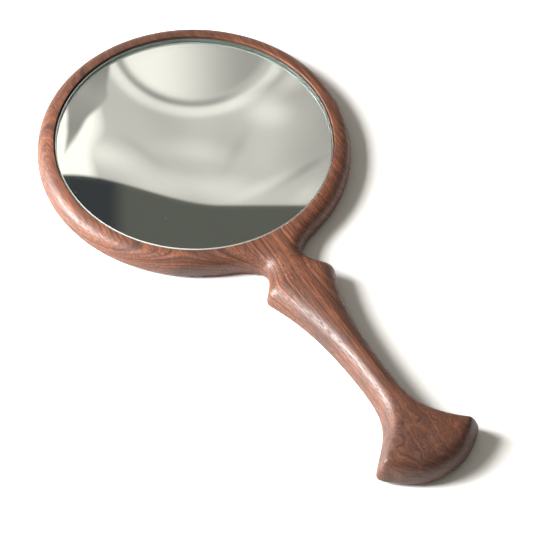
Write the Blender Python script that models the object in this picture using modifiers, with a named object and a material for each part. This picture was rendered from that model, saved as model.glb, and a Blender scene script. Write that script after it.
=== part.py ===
"""Round hand mirror with a carved wooden body, lying on its flat back.

The frame: the origin is the centre of the head, on the flat back. +Z points out of the mirror, and the
handle runs along -Y. The body is symmetric about the plane X = 0. The meshes are drawn in millimetres,
and MM turns them into Blender's metres.
"""

import math

import bmesh
import bpy
from mathutils import Matrix, Vector

MM = 0.001

# Mirror glass and what lies behind it, from the front to the floor of the recess
GLASS_RADIUS = 60.0
GLASS_THICK = 3.0
GLASS_ARRIS = 0.6
COATING_RADIUS = 59.2
COATING_THICK = 0.2
PAD_SIDE = 18.0
PAD_THICK = 1.0
PAD_CORNER = 2.0
PAD_CIRCLE = 36.0
OUTER_PADS = 4
LAYER_GAP = 0.1
EDGE_GAP = 0.6
GLASS_SIDES = 96

# Head of the wooden body
HEAD_RADIUS = 67.9
HEAD_THICK = 11.0
RIM_ABOVE_GLASS = 0.7
RECESS_RADIUS = GLASS_RADIUS + EDGE_GAP
HEAD_SIDES = 48
ACROSS = 4
GLASS_TOP = HEAD_THICK - RIM_ABOVE_GLASS
SILVER_TOP = GLASS_TOP - GLASS_THICK - LAYER_GAP
PAINT_TOP = SILVER_TOP - COATING_THICK - LAYER_GAP
PAD_TOP = PAINT_TOP - COATING_THICK - LAYER_GAP
FLOOR_Z = PAD_TOP - PAD_THICK - LAYER_GAP

# Handle: (y, half-width) of each row of the coarse cage, from the neck to the corners of the fan
HANDLE_ROWS = (
    (-70.5, 10.6),
    (-74.0, 8.7),
    (-78.5, 10.0),
    (-83.0, 13.6),
    (-86.5, 16.7),
    (-91.0, 14.8),
    (-98.5, 12.1),
    (-109.0, 9.2),
    (-122.0, 7.2),
    (-137.0, 6.2),
    (-151.0, 6.2),
    (-162.0, 8.1),
    (-170.5, 13.6),
    (-177.0, 20.2),
    (-183.5, 25.7),
)
SHOULDER_ROW = 4
FAN_CORNER_ROW = len(HANDLE_ROWS) - 1
CORNER_CREASE = 0.35
CREASED_LEVELS = {SHOULDER_ROW: 2, FAN_CORNER_ROW: 5}
FAN_END_Y = -197.0
FAN_BULGE_ROWS = 4
FAN_ROUNDNESS = 2.5
HANDLE_THICK = 13.6
THICKENS_FROM_Y = -64.0
THICKENS_TO_Y = -92.0

# Carved edge of the body, level by level from the back to the front: inset from the outline, and share of
# the thickness. The insets are in millimetres, but the grip's are shares of its half-width.
HEAD_SECTION = (
    (1.6, 0.0),
    (0.0, 0.19),
    (0.0, 0.48),
    (0.5, 0.74),
    (2.5, 0.93),
    (5.4, 1.0),
)
GRIP_SECTION = (
    (0.20, 0.0),
    (0.0, 0.17),
    (0.0, 0.40),
    (0.03, 0.63),
    (0.20, 0.84),
    (0.50, 0.955),
)
FLANK_SECTION = (
    (1.6, 0.0),
    (0.0, 0.18),
    (0.6, 0.40),
    (2.2, 0.68),
    (4.0, 0.92),
    (5.8, 0.985),
)
END_SECTION = (
    (2.2, 0.0),
    (0.0, 0.16),
    (0.0, 0.38),
    (0.7, 0.64),
    (3.0, 0.87),
    (6.8, 0.97),
)
END_TURN = (0.55, 0.95)
TOP_LEVEL = len(HEAD_SECTION) - 1
WIDEST_ROUNDING = 13.0
FAN_STARTS_Y = -150.0
FAN_WHOLE_Y = -172.0
BODY_SUBDIVISION = 1

# Colours as linear red, green, blue, alpha
WALNUT = (0.155, 0.062, 0.032, 1.0)
GLASS = (0.72, 0.83, 0.79, 1.0)
SILVER = (0.88, 0.89, 0.89, 1.0)
PAINT = (0.10, 0.11, 0.12, 1.0)
FOAM = (0.75, 0.75, 0.72, 1.0)


def clear_scene():
    for obj in list(bpy.data.objects):
        bpy.data.objects.remove(obj, do_unlink=True)


def new_collection(name):
    collection = bpy.data.collections.new(name)
    bpy.context.scene.collection.children.link(collection)
    return collection


def new_material(name, color, roughness, metallic=0.0, transmission=0.0):
    material = bpy.data.materials.new(name)
    material.use_nodes = True
    shader = material.node_tree.nodes["Principled BSDF"]
    shader.inputs["Base Color"].default_value = color
    shader.inputs["Roughness"].default_value = roughness
    shader.inputs["Metallic"].default_value = metallic
    shader.inputs["Transmission Weight"].default_value = transmission
    material.diffuse_color = color
    return material


def new_part(name, bm, material, collection, root, x=0.0, y=0.0, z=0.0):
    """Turn a bmesh drawn in millimetres into a part, placed with its own origin at (x, y, z)."""
    bmesh.ops.recalc_face_normals(bm, faces=bm.faces)
    bmesh.ops.scale(bm, vec=(MM, MM, MM), verts=bm.verts)
    mesh = bpy.data.meshes.new(name)
    bm.to_mesh(mesh)
    bm.free()
    mesh.materials.append(material)
    part = bpy.data.objects.new(name, mesh)
    part.location = (x * MM, y * MM, z * MM)
    part.parent = root
    collection.objects.link(part)
    return part


def made_verts(result):
    return [item for item in result["geom"] if isinstance(item, bmesh.types.BMVert)]


def boundary_edges(bm):
    return [edge for edge in bm.edges if edge.is_boundary]


def spot(vert):
    """Where a vertex stands in plan. Every column of vertices above it has the same spot."""
    return (round(vert.co.x, 3), round(vert.co.y, 3))


def draw_head(bm):
    """The head in plan: a disc the size of the recess, with the rim round it."""
    bmesh.ops.create_circle(bm, cap_ends=True, segments=HEAD_SIDES, radius=RECESS_RADIUS)
    rim = bmesh.ops.extrude_edge_only(bm, edges=boundary_edges(bm))
    wider = HEAD_RADIUS / RECESS_RADIUS
    bmesh.ops.scale(bm, vec=(wider, wider, 1.0), verts=made_verts(rim))


def fan_bulge(row, across):
    """How far a row's middle reaches past its corners, which turns the last rows into the fan's arc."""
    last = len(HANDLE_ROWS) - 1
    share = max(0.0, (row - last + FAN_BULGE_ROWS) / FAN_BULGE_ROWS)
    arc = 1.0 - abs(across) ** FAN_ROUNDNESS
    return (FAN_END_Y - HANDLE_ROWS[last][0]) * share ** 2 * arc


def draw_handle(bm):
    """Grow the handle in plan, row by row, from the rim's edges nearest -Y, and mark its rows."""
    row_of = bm.verts.layers.int.new("row")
    edges = sorted(boundary_edges(bm), key=lambda edge: sum(v.co.y for v in edge.verts))[:ACROSS]
    for row, (y, half_width) in enumerate(HANDLE_ROWS):
        grown = bmesh.ops.extrude_edge_only(bm, edges=edges)
        verts = sorted(made_verts(grown), key=lambda vert: vert.co.x)
        for step, vert in enumerate(verts):
            across = 2.0 * step / ACROSS - 1.0
            vert.co = (across * half_width, y + fan_bulge(row, across), 0.0)
            vert[row_of] = row + 1
        edges = [item for item in grown["geom"]
                 if isinstance(item, bmesh.types.BMEdge) and all(v in verts for v in item.verts)]


def outward_directions(bm):
    """For each spot on the plan's outline, the direction that points away from the wood."""
    out = {}
    for vert in (v for v in bm.verts if v.is_boundary):
        normal = Vector()
        for edge in (e for e in vert.link_edges if e.is_boundary):
            side = (edge.verts[1].co - edge.verts[0].co).normalized().cross((0, 0, 1))
            inward = edge.link_faces[0].calc_center_median() - edge.verts[0].co
            normal += -side if side.dot(inward) > 0 else side
        out[spot(vert)] = normal.normalized()
    return out


def ease(value, start, end):
    """A smooth rise from 0 to 1 as value goes from start to end."""
    share = min(max((value - start) / (end - start), 0.0), 1.0)
    return share * share * (3.0 - 2.0 * share)


def thickness(y):
    """The handle is a little thicker than the head, and the neck runs from one to the other."""
    return HEAD_THICK + (HANDLE_THICK - HEAD_THICK) * ease(y, THICKENS_FROM_Y, THICKENS_TO_Y)


def raise_levels(bm):
    """Raise the flat plan into a block with one whole number of height for each level of its sides."""
    top = bmesh.ops.extrude_face_region(bm, geom=list(bm.faces))
    bmesh.ops.translate(bm, vec=(0, 0, TOP_LEVEL), verts=made_verts(top))
    posts = [edge for edge in bm.edges if spot(edge.verts[0]) == spot(edge.verts[1])]
    bmesh.ops.subdivide_edges(bm, edges=posts, cuts=TOP_LEVEL - 1, use_grid_fill=True)


def crease_corners(bm):
    """Keep the shoulders and the fan's corners a little crisp, each up to its own level."""
    crease = bm.edges.layers.float.new("crease_edge")
    levels = {HANDLE_ROWS[row]: level for row, level in CREASED_LEVELS.items()}
    for edge in bm.edges:
        x, y = spot(edge.verts[0])
        upright = spot(edge.verts[0]) == spot(edge.verts[1])
        highest = max(vert.co.z for vert in edge.verts)
        if upright and highest < levels.get((y, abs(x)), 0) + 0.5:
            edge[crease] = CORNER_CREASE


def edge_section(row, level, outward):
    """Inset, as a vector, and share of the thickness at one level of a row's side. Row 0 is the head."""
    if row == 0:
        inset, share = HEAD_SECTION[level]
        return outward * inset, share
    y, half_width = HANDLE_ROWS[row - 1]
    inset, share = GRIP_SECTION[level]
    across = Vector((math.copysign(1.0, outward.x), 0.0, 0.0))
    grip = across * inset * min(half_width, WIDEST_ROUNDING)
    fan_inset, fan_share = Vector(FLANK_SECTION[level]).lerp(END_SECTION[level], ease(-outward.y, *END_TURN))
    fan = ease(y, FAN_STARTS_Y, FAN_WHOLE_Y)
    return grip.lerp(outward * fan_inset, fan), share + (fan_share - share) * fan


def carve_edge(bm, out):
    """Shape the block's sides to the edge section, and its front to the thickness."""
    row_of = bm.verts.layers.int["row"]
    rows = {}
    for vert in bm.verts:
        here, row, level = spot(vert), vert[row_of], round(vert.co.z)
        share = level / TOP_LEVEL
        if here in out:
            inset, share = edge_section(row, level, out[here])
            vert.co -= inset
        elif row == 0 and vert.co.xy.length > RECESS_RADIUS + EDGE_GAP:
            inset, _ = HEAD_SECTION[level]
            vert.co.xy *= (HEAD_RADIUS - inset) / HEAD_RADIUS
        vert.co.z = share * thickness(here[1])
        if row and level in (0, TOP_LEVEL):
            rows.setdefault((row, level), {})[here[0]] = vert
    for (row, level), verts in rows.items():
        if row < len(HANDLE_ROWS):
            space_evenly([verts[x] for x in sorted(verts)])


def space_evenly(verts):
    """Space a row's inner vertices between its two outer ones."""
    outer, middle = verts[-1].co, verts[ACROSS // 2].co
    for step in range(1, ACROSS):
        across = 2.0 * step / ACROSS - 1.0
        verts[step].co.x = across * outer.x
        verts[step].co.yz = middle.yz.lerp(outer.yz, across ** 2)


def sink_recess(bm):
    """Sink the disc in the head's front to the recess floor, with square edges."""
    crease = bm.edges.layers.float["crease_edge"]
    disc = max(bm.faces, key=lambda face: (len(face.verts), face.calc_center_median().z))
    for edge in disc.edges:
        edge[crease] = 1.0
    floor = bmesh.ops.extrude_discrete_faces(bm, faces=[disc])["faces"][0]
    for edge in floor.edges:
        edge[crease] = 1.0
    for vert in floor.verts:
        vert.co.z = FLOOR_Z


def wooden_body(material, collection, root):
    """Head, neck, grip and fan, carved from one board."""
    bm = bmesh.new()
    draw_head(bm)
    draw_handle(bm)
    out = outward_directions(bm)
    raise_levels(bm)
    crease_corners(bm)
    carve_edge(bm, out)
    sink_recess(bm)
    body = new_part("wooden_body", bm, material, collection, root)
    body.data.shade_smooth()
    smooth = body.modifiers.new("Carving", "SUBSURF")
    smooth.levels = BODY_SUBDIVISION
    smooth.render_levels = BODY_SUBDIVISION
    return body


def disc(name, radius, thick, top_z, arris, material, collection, root):
    """A flat round layer of the mirror, its top at top_z, with its two rims chamfered by arris."""
    bm = bmesh.new()
    bmesh.ops.create_cone(bm, cap_ends=True, segments=GLASS_SIDES, radius1=radius, radius2=radius,
                          depth=thick)
    if arris:
        rims = [edge for edge in bm.edges if edge.verts[0].co.z == edge.verts[1].co.z]
        bmesh.ops.bevel(bm, geom=rims, affect="EDGES", offset=arris, segments=1, profile=0.5,
                        material=-1)
    part = new_part(name, bm, material, collection, root, z=top_z - thick / 2.0)
    part.data.shade_smooth()
    part.data.set_sharp_from_angle(angle=math.radians(30.0))
    return part


def adhesive_pad(name, x, y, material, collection, root):
    """A square foam pad with rounded corners, between the painted back and the recess floor."""
    bm = bmesh.new()
    size = Matrix.Diagonal((PAD_SIDE, PAD_SIDE, PAD_THICK, 1.0))
    bmesh.ops.create_cube(bm, size=1.0, matrix=size)
    corners = [edge for edge in bm.edges if edge.verts[0].co.z != edge.verts[1].co.z]
    bmesh.ops.bevel(bm, geom=corners, affect="EDGES", offset=PAD_CORNER, segments=3, profile=0.5,
                    material=-1)
    return new_part(name, bm, material, collection, root, x=x, y=y, z=PAD_TOP - PAD_THICK / 2.0)


def adhesive_pads(material, collection, root):
    adhesive_pad("adhesive_pad_centre", 0.0, 0.0, material, collection, root)
    for number in range(OUTER_PADS):
        angle = 2.0 * math.pi * (number + 0.5) / OUTER_PADS
        x, y = PAD_CIRCLE * math.cos(angle), PAD_CIRCLE * math.sin(angle)
        adhesive_pad(f"adhesive_pad_{number + 1}", x, y, material, collection, root)


def main():
    clear_scene()
    collection = new_collection("hand_mirror")
    root = bpy.data.objects.new("hand_mirror", None)
    collection.objects.link(root)
    walnut = new_material("oiled_walnut", WALNUT, roughness=0.42)
    glass = new_material("clear_glass", GLASS, roughness=0.02, transmission=1.0)
    silver = new_material("silvering", SILVER, roughness=0.03, metallic=1.0)
    paint = new_material("backing_paint", PAINT, roughness=0.6)
    foam = new_material("foam_tape", FOAM, roughness=0.9)
    wooden_body(walnut, collection, root)
    disc("mirror_glass", GLASS_RADIUS, GLASS_THICK, GLASS_TOP, GLASS_ARRIS, glass, collection, root)
    disc("silver_layer", COATING_RADIUS, COATING_THICK, SILVER_TOP, 0.0, silver, collection, root)
    disc("backing_paint", COATING_RADIUS, COATING_THICK, PAINT_TOP, 0.0, paint, collection, root)
    adhesive_pads(foam, collection, root)


if __name__ == "__main__":
    main()
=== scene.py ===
"""Round hand mirror: a one-piece walnut body, a float glass mirror and the layers behind it.

The frame: the origin is the centre of the head, on the flat back. +Z points out of the mirror, and the
handle runs along -Y. Shapes are drawn in millimetres and turned into Blender's metres by MM.
"""

import math

import bmesh
import bpy
from bpy.props import FloatProperty, FloatVectorProperty, IntProperty, PointerProperty
from mathutils import Matrix, Vector


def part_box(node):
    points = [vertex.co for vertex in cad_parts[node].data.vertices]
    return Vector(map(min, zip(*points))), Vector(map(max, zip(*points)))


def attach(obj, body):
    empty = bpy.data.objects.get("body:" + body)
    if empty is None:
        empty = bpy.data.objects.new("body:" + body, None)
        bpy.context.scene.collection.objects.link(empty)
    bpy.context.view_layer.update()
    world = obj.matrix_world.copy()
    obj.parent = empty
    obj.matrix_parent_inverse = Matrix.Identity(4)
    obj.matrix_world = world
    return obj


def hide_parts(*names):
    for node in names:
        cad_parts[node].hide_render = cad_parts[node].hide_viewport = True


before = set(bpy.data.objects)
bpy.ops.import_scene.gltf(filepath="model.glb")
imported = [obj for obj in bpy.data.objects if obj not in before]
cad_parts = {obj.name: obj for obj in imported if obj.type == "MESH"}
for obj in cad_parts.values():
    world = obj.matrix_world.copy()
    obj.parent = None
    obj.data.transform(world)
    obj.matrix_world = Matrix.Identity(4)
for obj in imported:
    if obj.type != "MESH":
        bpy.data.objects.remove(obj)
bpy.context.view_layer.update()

bl_info = {
    "name": "Walnut Hand Mirror",
    "version": (1, 0, 0),
    "blender": (4, 5, 0),
    "location": "View3D > Sidebar > Hand Mirror",
    "description": "Builds a round hand mirror with a carved walnut body, and a plain studio for it",
    "category": "Add Mesh",
}

MM = 0.001
BODY = "root"

# The frame's own sizes, in millimetres
GLASS_LOW, GLASS_HIGH = (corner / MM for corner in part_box("mirror_glass"))
_, WOOD_HIGH = (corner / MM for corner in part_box("wooden_body"))
PAD_NODES = sorted(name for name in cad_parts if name.startswith("adhesive_pad"))
PAD_LOW, _ = (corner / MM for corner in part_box(PAD_NODES[0]))

# Head of the wooden body
EDGE_GAP = 0.6
RECESS_RADIUS = GLASS_HIGH.x + EDGE_GAP
HEAD_RADIUS = 67.9
HEAD_THICK = 11.0
LAYER_GAP = 0.1
FLOOR_Z = PAD_LOW.z - LAYER_GAP
HEAD_SIDES = 48
ACROSS = 4

# Handle: (y, half-width) of each row of the coarse cage, from the neck to the corners of the fan
HANDLE_ROWS = (
    (-70.5, 10.6),
    (-74.0, 8.7),
    (-78.5, 10.0),
    (-83.0, 13.6),
    (-86.5, 16.7),
    (-91.0, 14.8),
    (-98.5, 12.1),
    (-109.0, 9.2),
    (-122.0, 7.2),
    (-137.0, 6.2),
    (-151.0, 6.2),
    (-162.0, 8.1),
    (-170.5, 13.6),
    (-177.0, 20.2),
    (-183.5, 25.7),
)
SHOULDER_ROW = 4
FAN_CORNER_ROW = len(HANDLE_ROWS) - 1
CORNER_CREASE = 0.35
CREASED_LEVELS = {SHOULDER_ROW: 2, FAN_CORNER_ROW: 5}
FAN_END_Y = -197.0
FAN_BULGE_ROWS = 4
FAN_ROUNDNESS = 2.5
HANDLE_THICK = WOOD_HIGH.z
THICKENS_FROM_Y = -64.0
THICKENS_TO_Y = -92.0

# Carved edge of the body, level by level from the back to the front: inset from the outline, and share of
# the thickness. The insets are in millimetres, but the grip's are shares of its half-width.
HEAD_SECTION = (
    (1.6, 0.0),
    (0.0, 0.19),
    (0.0, 0.48),
    (0.5, 0.74),
    (2.5, 0.93),
    (5.4, 1.0),
)
GRIP_SECTION = (
    (0.20, 0.0),
    (0.0, 0.17),
    (0.0, 0.40),
    (0.03, 0.63),
    (0.20, 0.84),
    (0.50, 0.955),
)
FLANK_SECTION = (
    (1.6, 0.0),
    (0.0, 0.18),
    (0.6, 0.40),
    (2.2, 0.68),
    (4.0, 0.92),
    (5.8, 0.985),
)
END_SECTION = (
    (2.2, 0.0),
    (0.0, 0.16),
    (0.0, 0.38),
    (0.7, 0.64),
    (3.0, 0.87),
    (6.8, 0.97),
)
END_TURN = (0.55, 0.95)
TOP_LEVEL = len(HEAD_SECTION) - 1
WIDEST_ROUNDING = 13.0
FAN_STARTS_Y = -150.0
FAN_WHOLE_Y = -172.0


def color_property(name, description, default):
    return FloatVectorProperty(name=name, description=description, default=default, size=3, min=0.0,
                               max=1.0, subtype="COLOR")


def length_property(name, description, default, low, high):
    """A length, given in millimetres."""
    return FloatProperty(name=name, description=description, default=default * MM, min=low * MM,
                         max=high * MM, unit="LENGTH")


class WoodenBodySettings(bpy.types.PropertyGroup):
    smoothing: IntProperty(
        name="Smoothing",
        description="How many times the carved body's cage is subdivided",
        default=3,
        min=1,
        max=4,
    )
    lip_arris: length_property(
        "Lip arris", "Width of the small rounding on the wooden lip round the glass", 0.35, 0.05, 1.0)


class WalnutSettings(bpy.types.PropertyGroup):
    pale_wood: color_property("Pale wood", "Colour of the palest streaks", (0.225, 0.0755, 0.0345))
    heartwood: color_property("Heartwood", "Colour between the streaks", (0.108, 0.0340, 0.0150))
    dark_streak: color_property(
        "Dark streak", "Colour of the dark streaks and the pores", (0.034, 0.0105, 0.0054))
    red_tint: color_property("Red tint", "Colour of the warm patches", (0.175, 0.050, 0.020))
    # Multiplies the darker wood of the fan and the grip, and the painted shade on the far rim
    darker_wood_and_painted_shade: color_property(
        "Darker ends", "What the colour is multiplied by on the fan and the far rim", (0.55, 0.54, 0.53))
    layer_width: length_property("Growth layer", "Width of one year's growth", 3.4, 0.5, 12.0)
    roughness: FloatProperty(
        name="Roughness",
        description="Roughness of the oiled surface between the pores",
        default=0.47,
        min=0.0,
        max=1.0,
        subtype="FACTOR",
    )
    pore_depth: length_property("Pore depth", "Depth of the open pores", 0.05, 0.0, 0.3)


class GlassSettings(bpy.types.PropertyGroup):
    sides: IntProperty(
        name="Sides",
        description="Straight sides that the round glass is made of",
        default=256,
        min=48,
        max=512,
    )
    arris: length_property("Ground arris", "Width of the ground chamfer round the glass", 0.6, 0.1, 1.4)
    arris_tint: color_property(
        "Arris tint", "Colour of the ground chamfer round the front", (0.84, 0.93, 0.89))
    edge_tint: color_property("Edge tint", "Colour of the edge, seen through the glass", (0.10, 0.20, 0.16))


class BackingSettings(bpy.types.PropertyGroup):
    paint_color: color_property(
        "Backing paint", "Colour of the protective paint behind the silver", (0.10, 0.11, 0.12))
    foam_color: color_property("Foam", "Colour of the foam tape", (0.75, 0.75, 0.72))


class StageSettings(bpy.types.PropertyGroup):
    azimuth: FloatProperty(
        name="Camera azimuth",
        description="Where the camera stands: 0 looks along +Y, and 90 along -X",
        default=math.radians(-33.27),
        subtype="ANGLE",
    )
    elevation: FloatProperty(
        name="Camera elevation",
        description="How far the camera looks down",
        default=math.radians(51.80),
        subtype="ANGLE",
    )
    roll: FloatProperty(
        name="Camera roll",
        description="How far the camera is turned about its own line of sight",
        default=math.radians(2.17),
        subtype="ANGLE",
    )
    aim: FloatVectorProperty(
        name="Aim",
        description="The point that the camera looks at",
        default=(-7.4 * MM, -71.6 * MM, 6.0 * MM),
        size=3,
        subtype="TRANSLATION",
        unit="LENGTH",
    )
    distance: FloatProperty(
        name="Camera distance",
        description="From the camera to the point it looks at",
        default=1.255,
        min=0.2,
        unit="LENGTH",
    )
    lens: FloatProperty(
        name="Lens",
        description="The camera's focal length, in millimetres",
        default=202.6,
        min=20.0,
    )
    window_power: FloatProperty(
        name="Window power",
        description="Power of the soft light from the left",
        default=77.0,
        min=0.0,
        unit="POWER",
    )
    low_window_power: FloatProperty(
        name="Low window power",
        description="Power of the light from the left that comes in low over the table",
        default=51.0,
        min=0.0,
        unit="POWER",
    )
    sky: FloatVectorProperty(
        name="Room light",
        description="Colour and strength of the light from all round",
        default=(0.215, 0.202, 0.176),
        size=3,
        min=0.0,
        subtype="COLOR",
    )


# ---------------------------------------------------------------- pieces: what they all share

def new_piece(name, bm, materials, nodes):
    """Make a piece of a bmesh drawn in millimetres, which rides on the body and stands for the CAD nodes."""
    bmesh.ops.scale(bm, vec=(MM, MM, MM), verts=bm.verts)
    mesh = bpy.data.meshes.new(name)
    bm.to_mesh(mesh)
    bm.free()
    for material in materials:
        mesh.materials.append(material)
    piece = bpy.data.objects.new(name, mesh)
    bpy.context.scene.collection.objects.link(piece)
    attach(piece, BODY)
    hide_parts(*nodes)
    return piece


def subdivide(piece, levels):
    smooth = piece.modifiers.new("Smoothing", "SUBSURF")
    smooth.levels = levels
    smooth.render_levels = levels


def soften_edges(piece, width, segments, angle):
    bevel = piece.modifiers.new("Arris", "BEVEL")
    bevel.width = width
    bevel.segments = segments
    bevel.limit_method = "ANGLE"
    bevel.angle_limit = math.radians(angle)


def made_verts(result):
    return [item for item in result["geom"] if isinstance(item, bmesh.types.BMVert)]


# ---------------------------------------------------------------- materials: what they all share

def feed(tree, socket, value):
    """Give a socket a value, or the output of another node."""
    if isinstance(value, bpy.types.NodeSocket):
        tree.links.new(value, socket)
    else:
        socket.default_value = value


def add(tree, kind, values=None, **settings):
    """Add a shader node with its settings and its inputs' values, and return it."""
    node = tree.nodes.new("ShaderNode" + kind)
    for name, value in settings.items():
        setattr(node, name, value)
    for name, value in (values or {}).items():
        feed(tree, node.inputs[name], value)
    return node


def maths(tree, operation, *values):
    node = add(tree, "Math", operation=operation)
    for socket, value in zip(node.inputs, values):
        feed(tree, socket, value)
    return node.outputs[0]


def vector_node(tree, operation, values):
    node = add(tree, "VectorMath", operation=operation)
    for socket, value in zip(node.inputs, values):
        feed(tree, socket, value)
    return node


def vector_maths(tree, operation, *values):
    """An operation on vectors that gives a vector."""
    return vector_node(tree, operation, values).outputs["Vector"]


def measure(tree, operation, *values):
    """An operation on vectors that gives a number, such as a length or a distance."""
    return vector_node(tree, operation, values).outputs["Value"]


def stir(tree, place, noise, reach):
    """The place, pushed about by a colour noise, up to half of reach each way."""
    push = vector_node(tree, "SCALE", [vector_maths(tree, "SUBTRACT", noise, (0.5, 0.5, 0.5))])
    feed(tree, push.inputs["Scale"], reach)
    return vector_maths(tree, "ADD", place, push.outputs["Vector"])


def step(tree, value, low, high):
    """A smooth rise from 0 to 1 as value goes from low to high."""
    node = add(tree, "MapRange", {"Value": value, "From Min": low, "From Max": high},
               interpolation_type="SMOOTHSTEP")
    return node.outputs["Result"]


def band(tree, value, start, full, fading, gone):
    """A share that rises from 0 at start to 1 at full, and falls from 1 at fading to 0 at gone."""
    return maths(tree, "MULTIPLY", step(tree, value, start, full), step(tree, value, gone, fading))


def blend(tree, share, first, second, mode="MIX"):
    """Mix two colours."""
    node = add(tree, "Mix", data_type="RGBA", blend_type=mode)
    feed(tree, node.inputs["Factor"], share)
    for socket, color in zip((node.inputs[6], node.inputs[7]), (first, second)):
        feed(tree, socket, color)
    return node.outputs[2]


def opaque(color):
    return (*color, 1.0)


def new_group(name, inputs, outputs):
    """A node group: inputs are (name, kind, default) and outputs are (name, kind)."""
    tree = bpy.data.node_groups.new(name, "ShaderNodeTree")
    for label, kind, default in inputs:
        socket = tree.interface.new_socket(label, in_out="INPUT", socket_type="NodeSocket" + kind)
        if default is not None:
            socket.default_value = default
    for label, kind in outputs:
        tree.interface.new_socket(label, in_out="OUTPUT", socket_type="NodeSocket" + kind)
    entry = tree.nodes.new("NodeGroupInput")
    leave = tree.nodes.new("NodeGroupOutput")
    return tree, entry.outputs, leave.inputs


def use_group(tree, group, values):
    node = tree.nodes.new("ShaderNodeGroup")
    node.node_tree = group
    for name, value in values.items():
        feed(tree, node.inputs[name], value)
    return node.outputs


def new_material(name, **values):
    """A material with a Principled shader, its constants set on the shader's own sockets."""
    material = bpy.data.materials.new(name)
    material.use_nodes = True
    tree = material.node_tree
    shader = tree.nodes["Principled BSDF"]
    for label, value in values.items():
        shader.inputs[label.replace("_", " ")].default_value = value
    return material, tree, shader


def place_in(tree, unit):
    """The place on the piece, in that unit."""
    place = add(tree, "TexCoord").outputs["Object"]
    return vector_maths(tree, "MULTIPLY", place, (1.0 / unit, 1.0 / unit, 1.0 / unit))


def stretched_noise_group():
    """Noise with its own scale across and along the grain, which draws it out into streaks or fibres."""
    group, given, result = new_group(
        "grain_noise",
        [("Place", "Vector", None), ("Across", "Float", 1.0), ("Along", "Float", 0.05),
         ("Detail", "Float", 2.0), ("Warp", "Float", 0.0)],
        [("Value", "Float")],
    )
    sizes = add(group, "CombineXYZ", {"X": given["Across"], "Y": given["Along"], "Z": given["Across"]})
    point = vector_maths(group, "MULTIPLY", given["Place"], sizes.outputs[0])
    noise = add(group, "TexNoise", {"Vector": point, "Scale": 1.0, "Detail": given["Detail"],
                                    "Roughness": 0.6, "Distortion": given["Warp"]})
    feed(group, result["Value"], noise.outputs["Fac"])
    return group


def growth_layers_group():
    """Year rings round a pith that runs along the board: their late wood, and streaks that follow them."""
    group, given, result = new_group(
        "growth_layers",
        [("Place", "Vector", None), ("Pith X", "Float", -38.0), ("Pith Z", "Float", -46.0),
         ("Wander", "Float", 6.0), ("Width", "Float", 3.4)],
        [("Late wood", "Float"), ("Streaks", "Float")],
    )
    slow = vector_maths(group, "MULTIPLY", given["Place"], (0.020, 0.0085, 0.020))
    bend = add(group, "TexNoise", {"Vector": slow, "Scale": 1.0, "Detail": 2.0, "Roughness": 0.45})
    swayed = stir(group, given["Place"], bend.outputs["Color"], given["Wander"])
    parts = add(group, "SeparateXYZ", {"Vector": swayed})
    across = maths(group, "SUBTRACT", parts.outputs["X"], given["Pith X"])
    down = maths(group, "SUBTRACT", parts.outputs["Z"], given["Pith Z"])
    flat = add(group, "CombineXYZ", {"X": across, "Y": down, "Z": 0.0})
    depth = measure(group, "LENGTH", flat.outputs[0])
    years = maths(group, "DIVIDE", depth, given["Width"])
    uneven = add(group, "TexNoise", {"W": years, "Scale": 0.37, "Detail": 1.0}, noise_dimensions="1D")
    phase = maths(group, "FRACT", maths(group, "ADD", years, uneven.outputs["Fac"]))
    late = band(group, phase, 0.35, 0.93, 0.94, 1.0)
    streak = add(group, "TexNoise", {"W": depth, "Scale": 1.55, "Detail": 4.0, "Roughness": 0.62},
                 noise_dimensions="1D")
    feed(group, result["Late wood"], late)
    feed(group, result["Streaks"], streak.outputs["Fac"])
    return group


def speckle_group():
    """Small scattered spots, such as dust, foam cells or specks in paint."""
    group, given, result = new_group(
        "speckle",
        [("Place", "Vector", None), ("Per mm", "Float", 1.0), ("Radius", "Float", 0.2),
         ("Share", "Float", 0.3)],
        [("Mask", "Float")],
    )
    cells = add(group, "TexVoronoi", {"Vector": given["Place"], "Scale": given["Per mm"]})
    inner = maths(group, "MULTIPLY", given["Radius"], 0.5)
    near = add(group, "MapRange", {"Value": cells.outputs["Distance"], "From Min": given["Radius"],
                                   "From Max": inner}, interpolation_type="SMOOTHSTEP")
    chance = add(group, "SeparateColor", {"Color": cells.outputs["Color"]})
    chosen = maths(group, "LESS_THAN", chance.outputs[0], given["Share"])
    feed(group, result["Mask"], maths(group, "MULTIPLY", near.outputs["Result"], chosen))
    return group


def shared_group(name, build):
    """The node group of that name, built the first time it is asked for."""
    return bpy.data.node_groups.get(name) or build()


# ---------------------------------------------------------------- walnut

# Where the wood changes along the handle, as the y where a change starts and the y where it is whole
FAN_FIGURE = (-142.0, -176.0)
DARKER_GRIP = (-92.0, -122.0)
# Painted shade on the far rim: the colour darkens from the first y to the second
PAINTED_SHADE_FAR_RIM = (35.0, 60.0)
GRIP_SHARE = 0.5
THREADS_LOST_ON_FAN = 0.45
CURL_SCALE = 0.15
CURL_REACH = 5.5
PIN_KNOT = (-13.4, -173.5, 9.7)
KNOT_HALO = 2.6
KNOT_CORE = 1.1

# Noise along the grain: (per mm across the grain, per mm along it, detail, warp)
GRAIN_LINES = {
    "patches": (0.045, 0.016, 2.0, 0.6),
    "threads": (2.3, 0.050, 2.0, 0.15),
    "pores": (3.2, 0.26, 2.0, 0.0),
    "fibres": (7.0, 0.30, 3.0, 0.0),
    "curl": (0.85, 0.36, 3.0, 2.4),
    "clouds": (0.13, 0.12, 3.0, 1.2),
}


def along_handle(tree, place, start, whole):
    """A share that rises from 0 to 1 along the handle."""
    return step(tree, add(tree, "SeparateXYZ", {"Vector": place}).outputs["Y"], start, whole)


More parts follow.
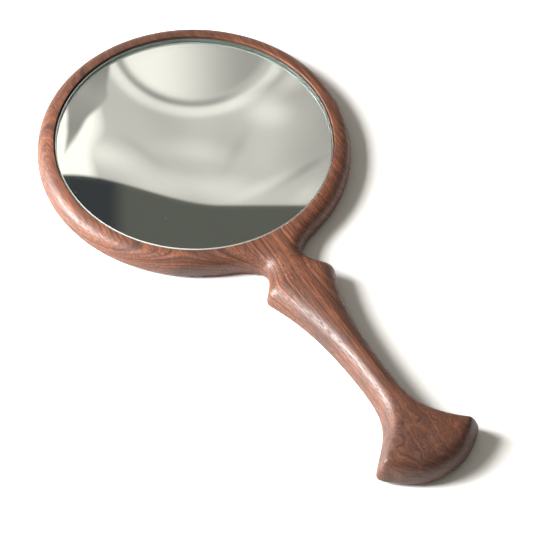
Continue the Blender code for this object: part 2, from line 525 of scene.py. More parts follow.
def curled(tree, place):
    """The place, stirred on the fan, where the grain curls."""
    noise = add(tree, "TexNoise", {"Vector": place, "Scale": CURL_SCALE, "Detail": 1.5, "Roughness": 0.5})
    fan = along_handle(tree, place, *FAN_FIGURE)
    return stir(tree, place, noise.outputs["Color"], maths(tree, "MULTIPLY", fan, CURL_REACH))


def walnut_masks(tree, place, settings):
    """The masks of everything that is drawn along the grain."""
    grain = shared_group("grain_noise", stretched_noise_group)
    layers = shared_group("growth_layers", growth_layers_group)
    rings = use_group(tree, layers, {"Place": place, "Width": settings.layer_width / MM})
    lines = {}
    for name, (across, along, detail, warp) in GRAIN_LINES.items():
        lines[name] = use_group(tree, grain, {"Place": place, "Across": across, "Along": along,
                                              "Detail": detail, "Warp": warp})["Value"]
    return {
        "late wood": rings["Late wood"],
        "pale streaks": step(tree, rings["Streaks"], 0.40, 0.58),
        "dark streaks": step(tree, rings["Streaks"], 0.47, 0.34),
        "red patches": step(tree, lines["patches"], 0.55, 0.75),
        "dark patches": step(tree, lines["patches"], 0.47, 0.32),
        "threads": step(tree, lines["threads"], 0.50, 0.56),
        "pores": step(tree, lines["pores"], 0.53, 0.62),
        "curl": step(tree, lines["curl"], 0.50, 0.60),
        "clouds": step(tree, lines["clouds"], 0.47, 0.66),
        "fibres": lines["fibres"],
    }


def wood_tone_and_painted_shade_share(tree, place, fan):
    """Where the colour is darker: darker wood on the fan and, by half, on the grip, and painted shade on the
    far rim.
    """
    grip = maths(tree, "MULTIPLY", along_handle(tree, place, *DARKER_GRIP), GRIP_SHARE)
    ends = maths(tree, "MAXIMUM", fan, along_handle(tree, place, *PAINTED_SHADE_FAR_RIM))
    return maths(tree, "MAXIMUM", ends, grip)


def lay(tree, color, shade, strength, *masks):
    """Lay a shade over the colour at that strength, where all the masks are."""
    for mask in masks:
        strength = maths(tree, "MULTIPLY", mask, strength)
    return blend(tree, strength, color, shade)


def walnut_color(tree, place, masks, settings):
    pale, heart, dark, red, ends = (opaque(color) for color in (
        settings.pale_wood, settings.heartwood, settings.dark_streak, settings.red_tint, settings.darker_wood_and_painted_shade))
    fan = along_handle(tree, place, *FAN_FIGURE)
    color = blend(tree, masks["pale streaks"], heart, pale)
    color = lay(tree, color, dark, 0.65, masks["dark streaks"])
    color = lay(tree, color, dark, 0.48, masks["late wood"])
    color = lay(tree, color, red, 0.70, masks["red patches"])
    color = lay(tree, color, dark, 0.62, masks["dark patches"])
    straight = maths(tree, "MULTIPLY_ADD", fan, -THREADS_LOST_ON_FAN, 1.0)
    color = lay(tree, color, dark, 0.72, masks["threads"], straight)
    # Darker wood on the fan and the grip, and painted shade on the far rim
    color = blend(tree, wood_tone_and_painted_shade_share(tree, place, fan), color, ends, mode="MULTIPLY")
    color = lay(tree, color, pale, 0.30, masks["clouds"], fan)
    color = lay(tree, color, dark, 0.55, masks["curl"], fan)
    color = lay(tree, color, dark, 0.65, masks["pores"])
    fibre = maths(tree, "MULTIPLY_ADD", masks["fibres"], 0.5, 0.75)
    color = blend(tree, 1.0, color, fibre, mode="MULTIPLY")
    knot = step(tree, measure(tree, "DISTANCE", place, PIN_KNOT), KNOT_HALO, KNOT_CORE)
    return blend(tree, knot, color, dark)


def walnut_material(settings):
    """Oiled walnut from one board: straight grain that curls on the fan, and one pin knot in its side."""
    material, tree, shader = new_material("oiled_walnut", IOR=1.5, Specular_IOR_Level=0.55)
    place = place_in(tree, MM)
    masks = walnut_masks(tree, curled(tree, place), settings)
    feed(tree, shader.inputs["Base Color"], walnut_color(tree, place, masks, settings))
    rough = maths(tree, "MULTIPLY_ADD", masks["pores"], 0.22, settings.roughness - 0.05)
    rough = maths(tree, "MULTIPLY_ADD", masks["fibres"], 0.10, rough)
    feed(tree, shader.inputs["Roughness"], rough)
    height = maths(tree, "SUBTRACT", maths(tree, "MULTIPLY", masks["fibres"], 0.35), masks["pores"])
    bump = add(tree, "Bump", {"Strength": 0.6, "Distance": settings.pore_depth, "Height": height})
    feed(tree, shader.inputs["Normal"], bump.outputs["Normal"])
    return material


# ---------------------------------------------------------------- wooden body

def boundary_edges(bm):
    return [edge for edge in bm.edges if edge.is_boundary]


def spot(vert):
    """Where a vertex stands in plan. Every column of vertices above it has the same spot."""
    return (round(vert.co.x, 3), round(vert.co.y, 3))


def draw_head(bm):
    """The head in plan: a disc the size of the recess, with the rim round it."""
    bmesh.ops.create_circle(bm, cap_ends=True, segments=HEAD_SIDES, radius=RECESS_RADIUS)
    rim = bmesh.ops.extrude_edge_only(bm, edges=boundary_edges(bm))
    wider = HEAD_RADIUS / RECESS_RADIUS
    bmesh.ops.scale(bm, vec=(wider, wider, 1.0), verts=made_verts(rim))


def fan_bulge(row, across):
    """How far a row's middle reaches past its corners, which turns the last rows into the fan's arc."""
    last = len(HANDLE_ROWS) - 1
    share = max(0.0, (row - last + FAN_BULGE_ROWS) / FAN_BULGE_ROWS)
    arc = 1.0 - abs(across) ** FAN_ROUNDNESS
    return (FAN_END_Y - HANDLE_ROWS[last][0]) * share ** 2 * arc


def draw_handle(bm):
    """Grow the handle in plan, row by row, from the rim's edges nearest -Y, and mark its rows."""
    row_of = bm.verts.layers.int.new("row")
    edges = sorted(boundary_edges(bm), key=lambda edge: sum(v.co.y for v in edge.verts))[:ACROSS]
    for row, (y, half_width) in enumerate(HANDLE_ROWS):
        grown = bmesh.ops.extrude_edge_only(bm, edges=edges)
        verts = sorted(made_verts(grown), key=lambda vert: vert.co.x)
        for place, vert in enumerate(verts):
            across = 2.0 * place / ACROSS - 1.0
            vert.co = (across * half_width, y + fan_bulge(row, across), 0.0)
            vert[row_of] = row + 1
        edges = [item for item in grown["geom"]
                 if isinstance(item, bmesh.types.BMEdge) and all(v in verts for v in item.verts)]


def outward_directions(bm):
    """For each spot on the plan's outline, the direction that points away from the wood."""
    out = {}
    for vert in (v for v in bm.verts if v.is_boundary):
        normal = Vector()
        for edge in (e for e in vert.link_edges if e.is_boundary):
            side = (edge.verts[1].co - edge.verts[0].co).normalized().cross((0, 0, 1))
            inward = edge.link_faces[0].calc_center_median() - edge.verts[0].co
            normal += -side if side.dot(inward) > 0 else side
        out[spot(vert)] = normal.normalized()
    return out


def ease(value, start, end):
    """A smooth rise from 0 to 1 as value goes from start to end."""
    share = min(max((value - start) / (end - start), 0.0), 1.0)
    return share * share * (3.0 - 2.0 * share)


def thickness(y):
    """The handle is a little thicker than the head, and the neck runs from one to the other."""
    return HEAD_THICK + (HANDLE_THICK - HEAD_THICK) * ease(y, THICKENS_FROM_Y, THICKENS_TO_Y)


def raise_levels(bm):
    """Raise the flat plan into a block with one whole number of height for each level of its sides."""
    top = bmesh.ops.extrude_face_region(bm, geom=list(bm.faces))
    bmesh.ops.translate(bm, vec=(0, 0, TOP_LEVEL), verts=made_verts(top))
    posts = [edge for edge in bm.edges if spot(edge.verts[0]) == spot(edge.verts[1])]
    bmesh.ops.subdivide_edges(bm, edges=posts, cuts=TOP_LEVEL - 1, use_grid_fill=True)


def crease_corners(bm):
    """Keep the shoulders and the fan's corners a little crisp, each up to its own level."""
    crease = bm.edges.layers.float.new("crease_edge")
    levels = {HANDLE_ROWS[row]: level for row, level in CREASED_LEVELS.items()}
    for edge in bm.edges:
        x, y = spot(edge.verts[0])
        upright = spot(edge.verts[0]) == spot(edge.verts[1])
        highest = max(vert.co.z for vert in edge.verts)
        if upright and highest < levels.get((y, abs(x)), 0) + 0.5:
            edge[crease] = CORNER_CREASE


def edge_section(row, level, outward):
    """Inset, as a vector, and share of the thickness at one level of a row's side. Row 0 is the head."""
    if row == 0:
        inset, share = HEAD_SECTION[level]
        return outward * inset, share
    y, half_width = HANDLE_ROWS[row - 1]
    inset, share = GRIP_SECTION[level]
    across = Vector((math.copysign(1.0, outward.x), 0.0, 0.0))
    grip = across * inset * min(half_width, WIDEST_ROUNDING)
    turn = ease(-outward.y, *END_TURN)
    fan_inset, fan_share = Vector(FLANK_SECTION[level]).lerp(END_SECTION[level], turn)
    fan = ease(y, FAN_STARTS_Y, FAN_WHOLE_Y)
    return grip.lerp(outward * fan_inset, fan), share + (fan_share - share) * fan


def carve_edge(bm, out):
    """Shape the block's sides to the edge section, and its front to the thickness."""
    row_of = bm.verts.layers.int["row"]
    rows = {}
    for vert in bm.verts:
        here, row, level = spot(vert), vert[row_of], round(vert.co.z)
        share = level / TOP_LEVEL
        if here in out:
            inset, share = edge_section(row, level, out[here])
            vert.co -= inset
        elif row == 0 and vert.co.xy.length > RECESS_RADIUS + EDGE_GAP:
            inset, _ = HEAD_SECTION[level]
            vert.co.xy *= (HEAD_RADIUS - inset) / HEAD_RADIUS
        vert.co.z = share * thickness(here[1])
        if row and level in (0, TOP_LEVEL):
            rows.setdefault((row, level), {})[here[0]] = vert
    for (row, level), verts in rows.items():
        if row < len(HANDLE_ROWS):
            space_evenly([verts[x] for x in sorted(verts)])


def space_evenly(verts):
    """Space a row's inner vertices between its two outer ones."""
    outer, middle = verts[-1].co, verts[ACROSS // 2].co
    for place in range(1, ACROSS):
        across = 2.0 * place / ACROSS - 1.0
        verts[place].co.x = across * outer.x
        verts[place].co.yz = middle.yz.lerp(outer.yz, across ** 2)


def sink_recess(bm):
    """Sink the disc in the head's front to the recess floor, with square edges."""
    crease = bm.edges.layers.float["crease_edge"]
    disc = max(bm.faces, key=lambda face: (len(face.verts), face.calc_center_median().z))
    for edge in disc.edges:
        edge[crease] = 1.0
    floor = bmesh.ops.extrude_discrete_faces(bm, faces=[disc])["faces"][0]
    for edge in floor.edges:
        edge[crease] = 1.0
    for vert in floor.verts:
        vert.co.z = FLOOR_Z


class HANDMIRROR_OT_wooden_body(bpy.types.Operator):
    """Carve head, neck, grip and fan from one board of walnut"""

    bl_idname = "hand_mirror.wooden_body"
    bl_label = "Wooden Body"

    def execute(self, context):
        settings = context.scene.hand_mirror_body
        bm = bmesh.new()
        draw_head(bm)
        draw_handle(bm)
        out = outward_directions(bm)
        raise_levels(bm)
        crease_corners(bm)
        carve_edge(bm, out)
        sink_recess(bm)
        bmesh.ops.recalc_face_normals(bm, faces=bm.faces)
        walnut = walnut_material(context.scene.hand_mirror_walnut)
        body = new_piece("walnut_body", bm, [walnut], ["wooden_body"])
        body.data.shade_smooth()
        subdivide(body, settings.smoothing)
        soften_edges(body, settings.lip_arris, 2, 60.0)
        return {"FINISHED"}


# ---------------------------------------------------------------- mirror glass

LEVEL_FACE = 0.99


def float_glass_material():
    """Clear float glass with a trace of dust on it."""
    material, tree, shader = new_material("float_glass", IOR=1.52, Transmission_Weight=1.0)
    dust = shared_group("speckle", speckle_group)
    spots = use_group(tree, dust, {"Place": place_in(tree, MM), "Per mm": 0.22, "Radius": 0.045,
                                   "Share": 0.5})["Mask"]
    color = blend(tree, spots, (0.975, 0.99, 0.985, 1.0), (0.90, 0.91, 0.91, 1.0))
    feed(tree, shader.inputs["Base Color"], color)
    feed(tree, shader.inputs["Roughness"], maths(tree, "MULTIPLY", spots, 0.25))
    return material


def ground_material(name, tint, clearness):
    """Ground glass, matt, with the fine marks of the wheel."""
    material, tree, shader = new_material(name, IOR=1.52, Transmission_Weight=clearness)
    grain = shared_group("grain_noise", stretched_noise_group)
    marks = use_group(tree, grain, {"Place": place_in(tree, MM), "Across": 3.0, "Along": 3.0})["Value"]
    tint = Vector(tint)
    color = blend(tree, marks, opaque(tint * 0.85), opaque(tint * 1.1))
    feed(tree, shader.inputs["Base Color"], color)
    feed(tree, shader.inputs["Roughness"], maths(tree, "MULTIPLY_ADD", marks, 0.2, 0.3))
    return material


class HANDMIRROR_OT_mirror_glass(bpy.types.Operator):
    """Cut the round float glass and grind its edge"""

    bl_idname = "hand_mirror.mirror_glass"
    bl_label = "Mirror Glass"

    def execute(self, context):
        settings = context.scene.hand_mirror_glass
        thick = GLASS_HIGH.z - GLASS_LOW.z
        middle = Matrix.Translation((0.0, 0.0, GLASS_LOW.z + thick / 2.0))
        bm = bmesh.new()
        bmesh.ops.create_cone(bm, cap_ends=True, segments=settings.sides, radius1=GLASS_HIGH.x,
                              radius2=GLASS_HIGH.x, depth=thick, matrix=middle)
        rims = [edge for edge in bm.edges if abs(edge.verts[0].co.z - edge.verts[1].co.z) < LAYER_GAP]
        bmesh.ops.bevel(bm, geom=rims, affect="EDGES", offset=settings.arris / MM, segments=1,
                        profile=0.5, material=-1)
        bmesh.ops.recalc_face_normals(bm, faces=bm.faces)
        bm.normal_update()
        for face in bm.faces:
            if abs(face.normal.z) < LEVEL_FACE:
                face.material_index = 1 if face.normal.z > 1.0 - LEVEL_FACE else 2
        materials = [
            float_glass_material(),
            ground_material("ground_arris", settings.arris_tint, 0.5),
            ground_material("ground_edge", settings.edge_tint, 0.3),
        ]
        glass = new_piece("float_glass_disc", bm, materials, ["mirror_glass"])
        glass.data.shade_smooth()
        glass.data.set_sharp_from_angle(angle=math.radians(30.0))
        return {"FINISHED"}


# ---------------------------------------------------------------- silver and paint

def silver_material():
    """Chemically deposited silver: nearly even, with a very faint cloudiness."""
    material, tree, shader = new_material("silvering", Metallic=1.0)
    grain = shared_group("grain_noise", stretched_noise_group)
    clouds = use_group(tree, grain, {"Place": place_in(tree, MM), "Across": 0.03, "Along": 0.03})["Value"]
    color = blend(tree, clouds, (0.90, 0.91, 0.90, 1.0), (0.95, 0.955, 0.945, 1.0))
    feed(tree, shader.inputs["Base Color"], color)
    feed(tree, shader.inputs["Roughness"], maths(tree, "MULTIPLY", clouds, 0.012))
    return material


def paint_material(settings):
    """Protective paint, rolled on: fine texture and small specks."""
    material, tree, shader = new_material("rolled_backing_paint")
    place = place_in(tree, MM)
    grain = shared_group("grain_noise", stretched_noise_group)
    speckle = shared_group("speckle", speckle_group)
    nap = use_group(tree, grain, {"Place": place, "Across": 1.4, "Along": 1.4})["Value"]
    specks = use_group(tree, speckle, {"Place": place, "Per mm": 0.6, "Radius": 0.18, "Share": 0.2})["Mask"]
    paint = Vector(settings.paint_color)
    color = blend(tree, nap, opaque(paint * 0.8), opaque(paint * 1.2))
    color = blend(tree, maths(tree, "MULTIPLY", specks, 0.5), color, opaque(paint * 2.2))
    feed(tree, shader.inputs["Base Color"], color)
    feed(tree, shader.inputs["Roughness"], maths(tree, "MULTIPLY_ADD", nap, 0.25, 0.5))
    bump = add(tree, "Bump", {"Strength": 0.5, "Distance": 0.03 * MM, "Height": nap})
    feed(tree, shader.inputs["Normal"], bump.outputs["Normal"])
    return material


class HANDMIRROR_OT_silver_and_paint(bpy.types.Operator):
    """Finish the silver behind the glass and the paint behind the silver"""

    bl_idname = "hand_mirror.silver_and_paint"
    bl_label = "Silver and Paint"

    def execute(self, context):
        finishes = {
            "silver_layer": silver_material(),
            "backing_paint": paint_material(context.scene.hand_mirror_backing),
        }
        for node, material in finishes.items():
            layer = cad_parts.get(node)
            if layer is None:
                raise RuntimeError(f"the frame has no {node}")
            layer.data.materials.clear()
            layer.data.materials.append(material)
        return {"FINISHED"}


# ---------------------------------------------------------------- foam pads

PAD_CORNER = 2.0
PAD_WAIST = 0.975
PAD_ROWS = 4


def foam_material(settings):
    """Closed-cell foam tape: small cells in its cut sides and a faint mottle."""
    material, tree, shader = new_material("foam_tape", Roughness=0.9)
    place = place_in(tree, MM)
    speckle = shared_group("speckle", speckle_group)
    grain = shared_group("grain_noise", stretched_noise_group)
    cells = use_group(tree, speckle, {"Place": place, "Per mm": 5.0, "Radius": 0.45, "Share": 0.8})["Mask"]
    mottle = use_group(tree, grain, {"Place": place, "Across": 0.5, "Along": 0.5})["Value"]
    foam = Vector(settings.foam_color)
    color = blend(tree, mottle, opaque(foam * 0.9), opaque(foam * 1.05))
    color = blend(tree, maths(tree, "MULTIPLY", cells, 0.4), color, opaque(foam * 0.6))
    feed(tree, shader.inputs["Base Color"], color)
    bump = add(tree, "Bump", {"Strength": 0.7, "Distance": 0.05 * MM, "Height": cells})
    bump.invert = True
    feed(tree, shader.inputs["Normal"], bump.outputs["Normal"])
    return material


def foam_pad(name, node, material):
    """A square of foam tape in the node's place, its sides pulled in a little between its two faces."""
    low, high = (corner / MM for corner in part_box(node))
    size, centre = high - low, (high + low) / 2.0
    bm = bmesh.new()
    bmesh.ops.create_cube(bm, size=1.0, matrix=Matrix.Diagonal((*size, 1.0)))
    posts = [edge for edge in bm.edges if edge.verts[0].co.z * edge.verts[1].co.z < 0.0]
    bmesh.ops.bevel(bm, geom=posts, affect="EDGES", offset=PAD_CORNER, segments=6, profile=0.5, material=-1)
    posts = [edge for edge in bm.edges if edge.verts[0].co.z * edge.verts[1].co.z < 0.0]
    bmesh.ops.subdivide_edges(bm, edges=posts, cuts=PAD_ROWS - 1, use_grid_fill=True)
    for vert in bm.verts:
        rise = 2.0 * abs(vert.co.z) / size.z
        vert.co.xy *= PAD_WAIST + (1.0 - PAD_WAIST) * rise ** 2
    bmesh.ops.translate(bm, vec=centre, verts=bm.verts)
    bmesh.ops.recalc_face_normals(bm, faces=bm.faces)
    pad = new_piece(name, bm, [material], [node])
    pad.data.shade_smooth()
    pad.data.set_sharp_from_angle(angle=math.radians(50.0))
    return pad


class HANDMIRROR_OT_foam_pads(bpy.types.Operator):
    """Cut the five double-sided foam pads that hold the mirror in its recess"""

    bl_idname = "hand_mirror.foam_pads"
    bl_label = "Foam Pads"

    def execute(self, context):
        material = foam_material(context.scene.hand_mirror_backing)
        for node in PAD_NODES:
            foam_pad(node.replace("adhesive_pad", "foam_pad"), node, material)
        return {"FINISHED"}


# ---------------------------------------------------------------- stage

FLOOR_RADIUS = 8.0
FLOOR_DROP = 0.2 * MM
WINDOW_DIRECTION = Vector((-0.705, 0.416, 0.574))
WINDOW_DISTANCE = 1.6
WINDOW_SIDE = 0.8
LOW_WINDOW_DIRECTION = Vector((-0.822, 0.481, 0.300))
LOW_WINDOW_SIDE = 0.6
WINDOW_COLOR = (1.0, 0.985, 0.965)
BRIGHT_SKY_DIRECTION = Vector((0.0, 0.35, 0.94))
LOW_SKY = 0.32
HIGH_SKY = 1.62
SKY_SPREAD = (-0.3, 0.95)
CARD_DISTANCE = 0.60
CARD_UNIT = 0.0885
CARD_HALF = (1.25, 1.05)


def place_camera(context, settings):
    """The camera, aimed as the settings say, without shift or depth of field."""
    turn = Matrix.Rotation(settings.azimuth, 3, "Z")
    ahead = turn @ Vector((0.0, math.cos(settings.elevation), -math.sin(settings.elevation)))
    lens = bpy.data.cameras.new("camera")
    lens.lens = settings.lens
    camera = bpy.data.objects.new("camera", lens)
    rolled = Matrix.Rotation(settings.roll, 4, "Z")
    camera.matrix_world = (Matrix.Translation(Vector(settings.aim) - ahead * settings.distance)
                           @ ahead.to_track_quat("-Z", "Y").to_matrix().to_4x4() @ rolled)
    context.scene.collection.objects.link(camera)
    context.scene.camera = camera
    return camera


def light_room(context, settings):
    """A pale room, brightest high up beyond the mirror, and white behind the floor's edge."""
    world = bpy.data.worlds.new("pale_room")
    world.use_nodes = True
    context.scene.world = world
    tree = world.node_tree
    tree.nodes.clear()
    direction = add(tree, "TexCoord").outputs["Generated"]
    lift = measure(tree, "DOT_PRODUCT", direction, BRIGHT_SKY_DIRECTION)
    low = opaque(Vector(settings.sky) * LOW_SKY)
    high = opaque(Vector(settings.sky) * HIGH_SKY)
    light = add(tree, "Background", {"Color": blend(tree, step(tree, lift, *SKY_SPREAD), low, high)})
    seen = add(tree, "Background", {"Color": (1.0, 1.0, 1.0, 1.0), "Strength": 1.05})
    camera_ray = add(tree, "LightPath").outputs["Is Camera Ray"]
    mixed = add(tree, "MixShader")
    feed(tree, mixed.inputs[0], camera_ray)
    feed(tree, mixed.inputs[1], light.outputs[0])
    feed(tree, mixed.inputs[2], seen.outputs[0])
    leave = add(tree, "OutputWorld")
    feed(tree, leave.inputs["Surface"], mixed.outputs[0])


def hang_window(context, settings, name, direction, side, power):
    """A soft square light, which stands off from the camera's aim in that direction."""
    lamp = bpy.data.lights.new(name, "AREA")
    lamp.shape = "SQUARE"
    lamp.size = side
    lamp.energy = power
    lamp.color = WINDOW_COLOR
    window = bpy.data.objects.new(name, lamp)
    ahead = -direction.normalized()
    window.matrix_world = (Matrix.Translation(Vector(settings.aim) - ahead * WINDOW_DISTANCE)
                           @ ahead.to_track_quat("-Z", "Y").to_matrix().to_4x4())
    window.visible_camera = False
    context.scene.collection.objects.link(window)


def floor_material():
    """Pale matt paper."""
    material, tree, shader = new_material("pale_paper", Roughness=0.9, Specular_IOR_Level=0.2)
    grain = shared_group("grain_noise", stretched_noise_group)
    pulp = use_group(tree, grain, {"Place": place_in(tree, MM), "Across": 0.8, "Along": 0.8})["Value"]
    color = blend(tree, pulp, (0.90, 0.90, 0.895, 1.0), (0.94, 0.94, 0.935, 1.0))
    feed(tree, shader.inputs["Base Color"], color)
    return material


def lay_floor(context):
    bm = bmesh.new()
    bmesh.ops.create_circle(bm, cap_ends=True, segments=96, radius=FLOOR_RADIUS)
    bmesh.ops.translate(bm, vec=(0.0, 0.0, -FLOOR_DROP), verts=bm.verts)
    mesh = bpy.data.meshes.new("floor")
    bm.to_mesh(mesh)
    bm.free()
    mesh.materials.append(floor_material())
    floor = bpy.data.objects.new("floor", mesh)
    context.scene.collection.objects.link(floor)


# The card, which glows and is painted with a cloth's folds and their light and shade: places are (right, up)
# from the middle of the mirror, in halves of its width as the camera sees it
BOWL_CENTRE = (0.0, 0.72)
BOWL_HALF_SIZE = (0.58, 0.50)
BRIGHT_STARTS, BRIGHT_WHOLE = -0.42, -0.66
BRIGHT_TONE = 1.22
DRAPE_LEFT, DRAPE_RIGHT = -0.86, -0.66
DRAPE_SLOPE, DRAPE_BELOW, DRAPE_SLANT = 1.25, 1.12, 0.62
DRAPE_HEM = (0.095, 0.055)
CLOTH_COLOR = (1.0, 0.955, 0.875, 1.0)
EDGE_HEIGHT, EDGE_RISE = -0.500, 0.217
EDGE_BEND = (0.2, -0.9)
EDGE_SOFTNESS = (0.018, -0.012)
TABLE_COLOR = (0.115, 0.117, 0.099, 1.0)
TABLE_SHADE = (0.045, 0.048, 0.050, 1.0)
TABLE_SHADE_ENDS = (-0.62, -0.45)

# Painted light and shade of soft folds of the cloth: (right, up, turn in degrees, half-length, half-width,
# how much brighter)
FOLDS = (
    (0.54, 0.17, 0.0, 0.24, 0.17, 0.24),
    (0.48, 0.33, 32.0, 0.28, 0.06, -0.18),
    (0.74, 0.42, 34.0, 0.32, 0.12, 0.22),
    (0.74, -0.27, 31.0, 0.32, 0.05, -0.14),
    (0.50, -0.36, 24.0, 0.34, 0.07, 0.15),
    (0.80, -0.42, 40.0, 0.20, 0.10, 0.12),
    (0.00, -0.13, -8.0, 0.42, 0.16, 0.20),
    (0.05, -0.36, -8.0, 0.62, 0.18, 0.28),
    (-0.36, -0.12, -34.0, 0.30, 0.06, -0.07),
    (-0.62, -0.14, -20.0, 0.40, 0.15, 0.26),
    (0.30, -0.10, 62.0, 0.30, 0.07, -0.07),
)


def puffs(tree, place, scale, offset):
    """Slow, soft changes of tone."""
    point = vector_maths(tree, "ADD", place, offset)
    return add(tree, "TexNoise", {"Vector": point, "Scale": scale, "Detail": 1.0,
                                  "Roughness": 0.4}).outputs["Fac"]


def oval(tree, place, centre, half_size, turn=0.0):
    """Distance from a centre, 1 on an ellipse of that half-length and half-width."""
    moved = vector_maths(tree, "SUBTRACT", place, (*centre, 0.0))
    turned = add(tree, "VectorRotate", {"Vector": moved, "Angle": -math.radians(turn)},
                 rotation_type="Z_AXIS")
    long, wide = half_size
    squeezed = vector_maths(tree, "MULTIPLY", turned.outputs[0], (1.0 / long, 1.0 / wide, 0.0))
    return measure(tree, "LENGTH", squeezed)


def mix_tones(tree, share, first, second):
    """A tone that goes from the first to the second as share goes from 0 to 1."""
    return maths(tree, "MULTIPLY_ADD", share, maths(tree, "SUBTRACT", second, first), first)


def fold_tones(tree, place, right):
    """White cloth with the painted light and shade of soft folds, and a little painted shade to the right."""
    tone = maths(tree, "MULTIPLY_ADD", puffs(tree, place, 1.6, (3.0, 0.0, 0.0)), 0.52, 0.35)
    tone = maths(tree, "MULTIPLY_ADD", step(tree, right, 0.35, 0.95), -0.10, tone)
    for x, y, turn, long, wide, change in FOLDS:
        fold = step(tree, oval(tree, place, (x, y), (long, wide), turn), 1.0, 0.0)
        tone = maths(tree, "MULTIPLY_ADD", fold, change, tone)
    return tone


def bowl_tones(tree, place, right, tone):
    """The painted light and shade of a round bowl-like swelling at the top of the cloth, with a painted
    shaded groove and a painted lit ridge round it.
    """
    bowl = oval(tree, place, BOWL_CENTRE, BOWL_HALF_SIZE)
    inner = maths(tree, "MULTIPLY_ADD", step(tree, right, -0.32, 0.40), -0.64, 1.04)
    tone = mix_tones(tree, step(tree, bowl, 1.02, 0.86), tone, inner)
    groove = maths(tree, "MULTIPLY", band(tree, bowl, 0.91, 0.99, 1.0, 1.07), step(tree, right, 0.50, 0.15))
    tone = maths(tree, "MULTIPLY_ADD", groove, -0.24, tone)
    return maths(tree, "MULTIPLY_ADD", band(tree, bowl, 1.0, 1.09, 1.12, 1.24), 0.30, tone)


def bright_side(tree, place, right, tone):
    """The cloth's left side, painted bright as in the window's light."""
    uneven = maths(tree, "MULTIPLY_ADD", puffs(tree, place, 2.0, (0.0, 7.0, 0.0)), 0.2, right)
    bright = maths(tree, "MULTIPLY", step(tree, uneven, BRIGHT_STARTS, BRIGHT_WHOLE), BRIGHT_TONE)
    return maths(tree, "MAXIMUM", tone, bright)


def drape_tones(tree, place, right, up, tone):
    """A grey drape in front of the bright side, upright at its sides and cut off at a slant below."""
    past_left = maths(tree, "SUBTRACT", DRAPE_LEFT, right)
    past_right = maths(tree, "SUBTRACT", right, DRAPE_RIGHT)
    slant = maths(tree, "MULTIPLY_ADD", right, DRAPE_SLOPE, maths(tree, "SUBTRACT", DRAPE_BELOW, up))
    outside = maths(tree, "MAXIMUM", past_right, past_left)
    outside = maths(tree, "MAXIMUM", outside, maths(tree, "MULTIPLY", slant, DRAPE_SLANT))
    outside = maths(tree, "MULTIPLY_ADD", puffs(tree, place, 5.0, (0.0, 0.0, 5.0)), 0.06, outside)
    grey = maths(tree, "MULTIPLY_ADD", puffs(tree, place, 3.0, (1.0, 0.0, 0.0)), 0.34, 0.21)
    return mix_tones(tree, step(tree, outside, *DRAPE_HEM), tone, grey)


def painted_cloth_colors(tree):
    """A white cloth with its painted light and shade, above a dark table, whose edge rises to the left, all
    painted on a card.
    """
    place = place_in(tree, CARD_UNIT)
    parts = add(tree, "SeparateXYZ", {"Vector": place})
    right, up = parts.outputs["X"], parts.outputs["Y"]
    tone = fold_tones(tree, place, right)
    tone = bowl_tones(tree, place, right, tone)
    tone = bright_side(tree, place, right, tone)
    tone = drape_tones(tree, place, right, up, tone)
    cloth = blend(tree, 1.0, CLOTH_COLOR, tone, mode="MULTIPLY")
    table = blend(tree, step(tree, right, *TABLE_SHADE_ENDS), TABLE_SHADE, TABLE_COLOR)
    edge = maths(tree, "MULTIPLY_ADD", step(tree, right, *EDGE_BEND), EDGE_RISE, EDGE_HEIGHT)
    return blend(tree, step(tree, maths(tree, "SUBTRACT", up, edge), *EDGE_SOFTNESS), cloth, table)


def hang_card(context, camera):
    """The glowing card that the mirror shows, painted with a cloth's light and shade: it stands where the
    glass sends the camera's line of sight.
    """
    surface = GLASS_LOW.z * MM
    flip = Matrix.Translation((0, 0, surface)) @ Matrix.Diagonal((1, 1, -1, 1)) @ Matrix.Translation(
        (0, 0, -surface))
    seen_from = flip @ camera.matrix_world
    ahead = (Vector((0.0, 0.0, surface)) - seen_from.translation).normalized()
    right = seen_from.to_3x3() @ Vector((1.0, 0.0, 0.0))
    up = seen_from.to_3x3() @ Vector((0.0, 1.0, 0.0))
    bm = bmesh.new()
    bmesh.ops.create_grid(bm, x_segments=1, y_segments=1, size=CARD_UNIT)
    bmesh.ops.scale(bm, vec=(*CARD_HALF, 1.0), verts=bm.verts)
    mesh = bpy.data.meshes.new("glowing_painted_card")
    bm.to_mesh(mesh)
    bm.free()
    material = bpy.data.materials.new("glowing_painted_cloth")
    material.use_nodes = True
    tree = material.node_tree
    tree.nodes.clear()
    # The card glows with its painted light and shade, though it is no lamp
    glow = add(tree, "Emission", {"Color": painted_cloth_colors(tree)})
    leave = add(tree, "OutputMaterial")
    feed(tree, leave.inputs["Surface"], glow.outputs[0])
    mesh.materials.append(material)
    card = bpy.data.objects.new("glowing_painted_card", mesh)
    card.matrix_world = Matrix.Translation(ahead * CARD_DISTANCE) @ Matrix(
        (right, up, right.cross(up))).transposed().to_4x4()
    context.scene.collection.objects.link(card)


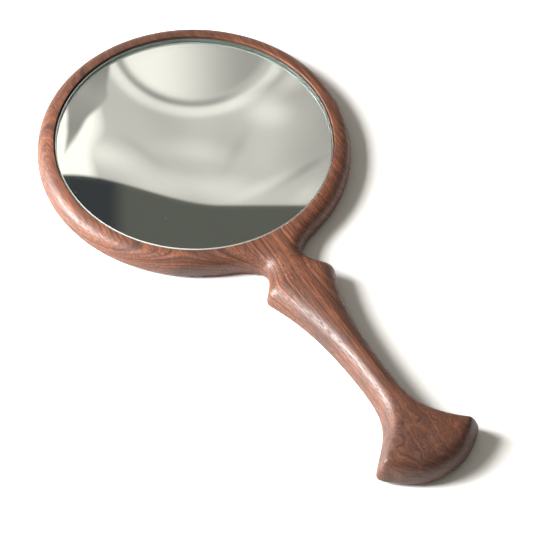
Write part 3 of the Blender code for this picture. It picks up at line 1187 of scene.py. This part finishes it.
class HANDMIRROR_OT_stage(bpy.types.Operator):
    """Set up the camera, the floor, the lights and the glowing painted card that the mirror shows"""

    bl_idname = "hand_mirror.stage"
    bl_label = "Stage"

    def execute(self, context):
        settings = context.scene.hand_mirror_stage
        context.scene.view_settings.view_transform = "Standard"
        camera = place_camera(context, settings)
        light_room(context, settings)
        hang_window(context, settings, "window", WINDOW_DIRECTION, WINDOW_SIDE, settings.window_power)
        hang_window(context, settings, "low_window", LOW_WINDOW_DIRECTION, LOW_WINDOW_SIDE,
                    settings.low_window_power)
        lay_floor(context)
        hang_card(context, camera)
        return {"FINISHED"}


# ---------------------------------------------------------------- panel and registration

class HANDMIRROR_PT_sidebar(bpy.types.Panel):
    bl_label = "Hand Mirror"
    bl_idname = "HANDMIRROR_PT_sidebar"
    bl_space_type = "VIEW_3D"
    bl_region_type = "UI"
    bl_category = "Hand Mirror"

    def draw(self, context):
        layout = self.layout
        for operator, groups in BUTTONS:
            layout.operator(operator.bl_idname)
            for group in groups:
                settings = getattr(context.scene, group)
                for name in settings.__annotations__:
                    layout.prop(settings, name)


SETTINGS = {
    "hand_mirror_body": WoodenBodySettings,
    "hand_mirror_walnut": WalnutSettings,
    "hand_mirror_glass": GlassSettings,
    "hand_mirror_backing": BackingSettings,
    "hand_mirror_stage": StageSettings,
}
BUTTONS = (
    (HANDMIRROR_OT_wooden_body, ("hand_mirror_body", "hand_mirror_walnut")),
    (HANDMIRROR_OT_mirror_glass, ("hand_mirror_glass",)),
    (HANDMIRROR_OT_silver_and_paint, ()),
    (HANDMIRROR_OT_foam_pads, ("hand_mirror_backing",)),
    (HANDMIRROR_OT_stage, ("hand_mirror_stage",)),
)
CLASSES = (*SETTINGS.values(), *(operator for operator, groups in BUTTONS), HANDMIRROR_PT_sidebar)


def register():
    for cls in CLASSES:
        bpy.utils.register_class(cls)
    for name, group in SETTINGS.items():
        setattr(bpy.types.Scene, name, PointerProperty(type=group))


def unregister():
    for name in SETTINGS:
        delattr(bpy.types.Scene, name)
    for cls in reversed(CLASSES):
        bpy.utils.unregister_class(cls)


def main():
    register()
    bpy.ops.hand_mirror.stage()
    bpy.ops.hand_mirror.wooden_body()
    bpy.ops.hand_mirror.mirror_glass()
    bpy.ops.hand_mirror.silver_and_paint()
    bpy.ops.hand_mirror.foam_pads()


if __name__ == "__main__":
    main()
